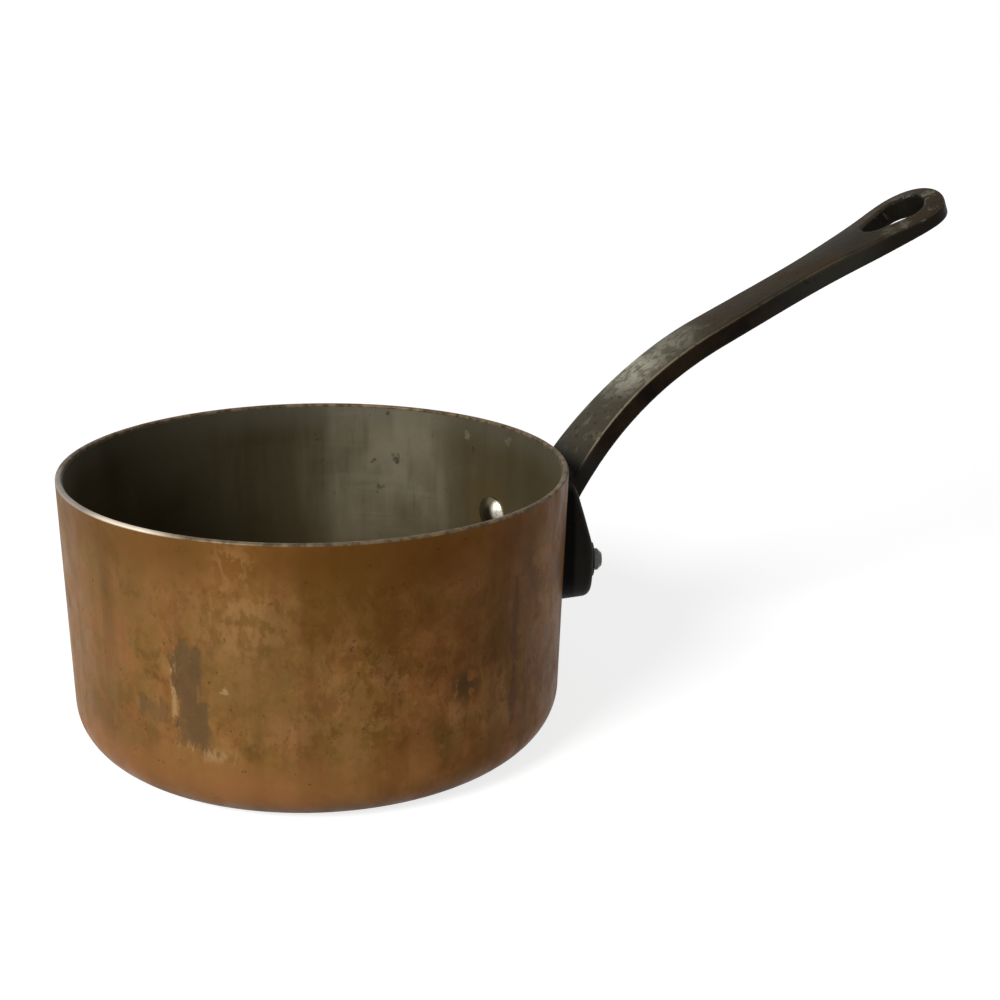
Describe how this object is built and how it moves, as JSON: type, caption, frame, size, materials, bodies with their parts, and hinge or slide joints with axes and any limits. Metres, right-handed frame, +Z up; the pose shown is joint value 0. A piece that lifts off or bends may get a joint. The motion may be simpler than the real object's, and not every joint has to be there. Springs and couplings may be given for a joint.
{
  "type": "saucepan",
  "caption": "Straight-sided copper saucepan with a tin lining and a long cast-iron handle that curves up from a riveted flange to a hanging eye",
  "frame": {"origin": "centre of the pan's round base, on the surface that it rests on", "axes": "+Z up, the pan's axis of revolution; +X along the handle, away from the pan; the XZ plane is the plane of symmetry"},
  "size_m": [0.3151, 0.16, 0.167],
  "materials": {
    "copper": "aged copper, satin, with a mottled brown and orange patina",
    "tin": "wiped tin, dull grey, darkened with use",
    "cast_iron": "dark cast iron, satin, worn lighter on its upper edges",
    "rivet": "tinned inside, darkened outside"
  },
  "bodies": {
    "root": {"pan_body": "copper", "tin_lining": "tin", "handle": "cast_iron", "rivet_left": "rivet", "rivet_right": "rivet", "rivet_lower": "rivet"}
  },
  "joints": []
}
